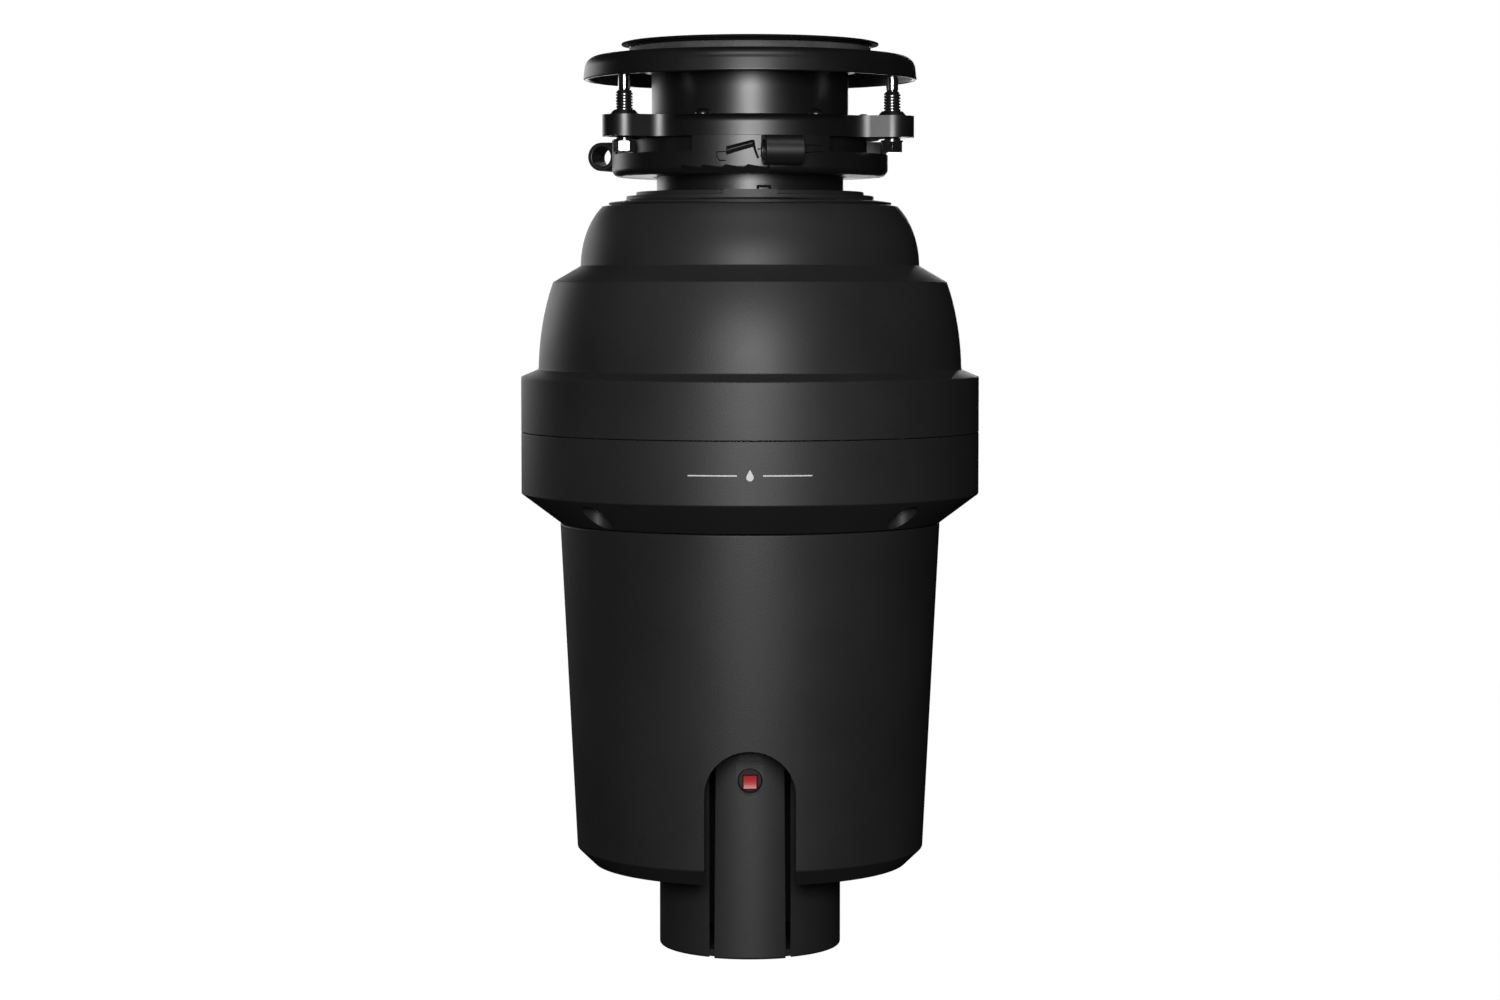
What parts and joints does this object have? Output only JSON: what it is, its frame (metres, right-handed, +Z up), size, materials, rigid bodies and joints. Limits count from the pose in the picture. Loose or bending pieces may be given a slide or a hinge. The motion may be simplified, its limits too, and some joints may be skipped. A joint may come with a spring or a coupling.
{
  "type": "kitchen garbage disposal",
  "caption": "Under-sink food waste disposer with a screw-clamped sink flange, bayonet mounting ring, grinding chamber, motor, drain elbow and reset button.",
  "frame": {"origin": "centre of the sink outlet, on the plane where the rim of the sink flange rests on the sink", "axes": "+Z up along the shaft and out of the sink outlet; -Y is the front with the reset button; the drain elbow points to +Y and down"},
  "size_m": [0.2044, 0.2645, 0.4037],
  "materials": {
    "body_plastic": "fine-textured matte black moulding",
    "mount_coating": "satin to glossy black coating",
    "screw_steel": "bright zinc-plated steel",
    "stainless": "brushed stainless steel",
    "rubber": "dull black rubber",
    "fibre": "pressed fibre",
    "cast_alloy": "as-cast alloy",
    "lamination": "stacked dull steel sheets",
    "winding": "enamelled copper wire",
    "bearing_steel": "ground bearing steel",
    "foam": "open-cell sound foam",
    "red_button": "red moulded plastic",
    "phenolic": "dark phenolic moulding",
    "nylon": "natural nylon",
    "contact_strip": "spring brass strip"
  },
  "bodies": {
    "housing": {"dishwasher_inlet": "body_plastic", "top_collar": "body_plastic", "upper_shell": "body_plastic", "lower_shell": "body_plastic", "motor_housing": "body_plastic", "base_cup": "body_plastic", "wiring_cover": "body_plastic", "drain_elbow": "body_plastic", "sink_flange": "mount_coating", "mounting_ring": "mount_coating", "snap_ring": "screw_steel", "shell_screw_1": "screw_steel", "shell_screw_2": "screw_steel", "shell_screw_3": "screw_steel", "shell_screw_4": "screw_steel", "drain_plate": "screw_steel", "drain_bolt_1": "screw_steel", "drain_bolt_2": "screw_steel", "through_bolt_1": "screw_steel", "through_bolt_2": "screw_steel", "through_bolt_3": "screw_steel", "through_bolt_4": "screw_steel", "base_screw_1": "screw_steel", "base_screw_2": "screw_steel", "hopper": "stainless", "shredder_ring": "stainless", "mounting_cushion": "rubber", "splash_baffle": "rubber", "chamber_gasket": "rubber", "drain_gasket": "rubber", "shaft_seal": "rubber", "drain_housing": "cast_alloy", "end_frame": "cast_alloy", "stator_core": "lamination", "upper_winding": "winding", "lower_winding": "winding", "upper_bearing": "bearing_steel", "lower_bearing": "bearing_steel", "sound_jacket": "foam", "overload_protector": "phenolic", "capacitor": "phenolic", "start_switch": "phenolic", "cord_gland": "phenolic"},
    "lock_ring": {"lock_ring": "mount_coating"},
    "clamp": {"backup_flange": "mount_coating", "sink_gasket": "fibre"},
    "mounting_screw_1": {"mounting_screw_1": "screw_steel"},
    "mounting_screw_2": {"mounting_screw_2": "screw_steel"},
    "mounting_screw_3": {"mounting_screw_3": "screw_steel"},
    "rotor": {"rotor_shaft": "stainless", "rotor_core": "lamination", "turntable": "stainless", "turntable_nut": "screw_steel", "impeller_pin_1": "stainless", "impeller_pin_2": "stainless"},
    "impeller_1": {"impeller_1": "stainless"},
    "impeller_2": {"impeller_2": "stainless"},
    "switch_collar": {"switch_collar": "nylon"},
    "switch_arm": {"switch_arm": "contact_strip"},
    "reset_button": {"reset_button": "red_button"}
  },
  "joints": [
    {"name": "lock_ring_turn", "type": "hinge", "parent": "housing", "child": "lock_ring", "pos_m": [0, 0, -0.05], "axis": [0, 0, 1], "range_deg": [-29, 0]},
    {"name": "clamp_slide", "type": "slide", "parent": "housing", "child": "clamp", "axis": [0, 0, 1], "range_m": [-0.01, 0]},
    {"name": "mounting_screw_1_turn", "type": "hinge", "parent": "clamp", "child": "mounting_screw_1", "pos_m": [-0.0545, -0.04033, -0.03], "axis": [0, 0, 1], "range_deg": [-2840, 5]},
    {"name": "mounting_screw_2_turn", "type": "hinge", "parent": "clamp", "child": "mounting_screw_2", "pos_m": [0.06218, -0.02704, -0.03], "axis": [0, 0, 1], "range_deg": [-2840, 5]},
    {"name": "mounting_screw_3_turn", "type": "hinge", "parent": "clamp", "child": "mounting_screw_3", "pos_m": [-0.00768, 0.06736, -0.03], "axis": [0, 0, 1], "range_deg": [-2840, 5]},
    {"name": "rotor_spin", "type": "hinge", "parent": "housing", "child": "rotor", "pos_m": [0, 0, -0.25], "axis": [0, 0, 1], "continuous": true},
    {"name": "impeller_1_swivel", "type": "hinge", "parent": "rotor", "child": "impeller_1", "pos_m": [0, -0.044, -0.16], "axis": [0, 0, 1], "continuous": true},
    {"name": "impeller_2_swivel", "type": "hinge", "parent": "rotor", "child": "impeller_2", "pos_m": [0, 0.044, -0.16], "axis": [0, 0, 1], "continuous": true},
    {"name": "switch_collar_lift", "type": "slide", "parent": "rotor", "child": "switch_collar", "axis": [0, 0, 1], "range_m": [0, 0.003]},
    {"name": "switch_arm_tilt", "type": "hinge", "parent": "housing", "child": "switch_arm", "pos_m": [0, 0.031, -0.2985], "axis": [-1, 0, 0], "range_deg": [0, 12]},
    {"name": "reset_button_pop", "type": "slide", "parent": "housing", "child": "reset_button", "axis": [0, -1, 0], "range_m": [0, 0.003]}
  ],
  "couplings": [
    {"joint": "mounting_screw_1_turn", "follows": "clamp_slide", "rad_per_m": 4947.4},
    {"joint": "mounting_screw_2_turn", "follows": "clamp_slide", "rad_per_m": 4947.4},
    {"joint": "mounting_screw_3_turn", "follows": "clamp_slide", "rad_per_m": 4947.4},
    {"joint": "switch_arm_tilt", "follows": "switch_collar_lift", "rad_per_m": 57}
  ]
}
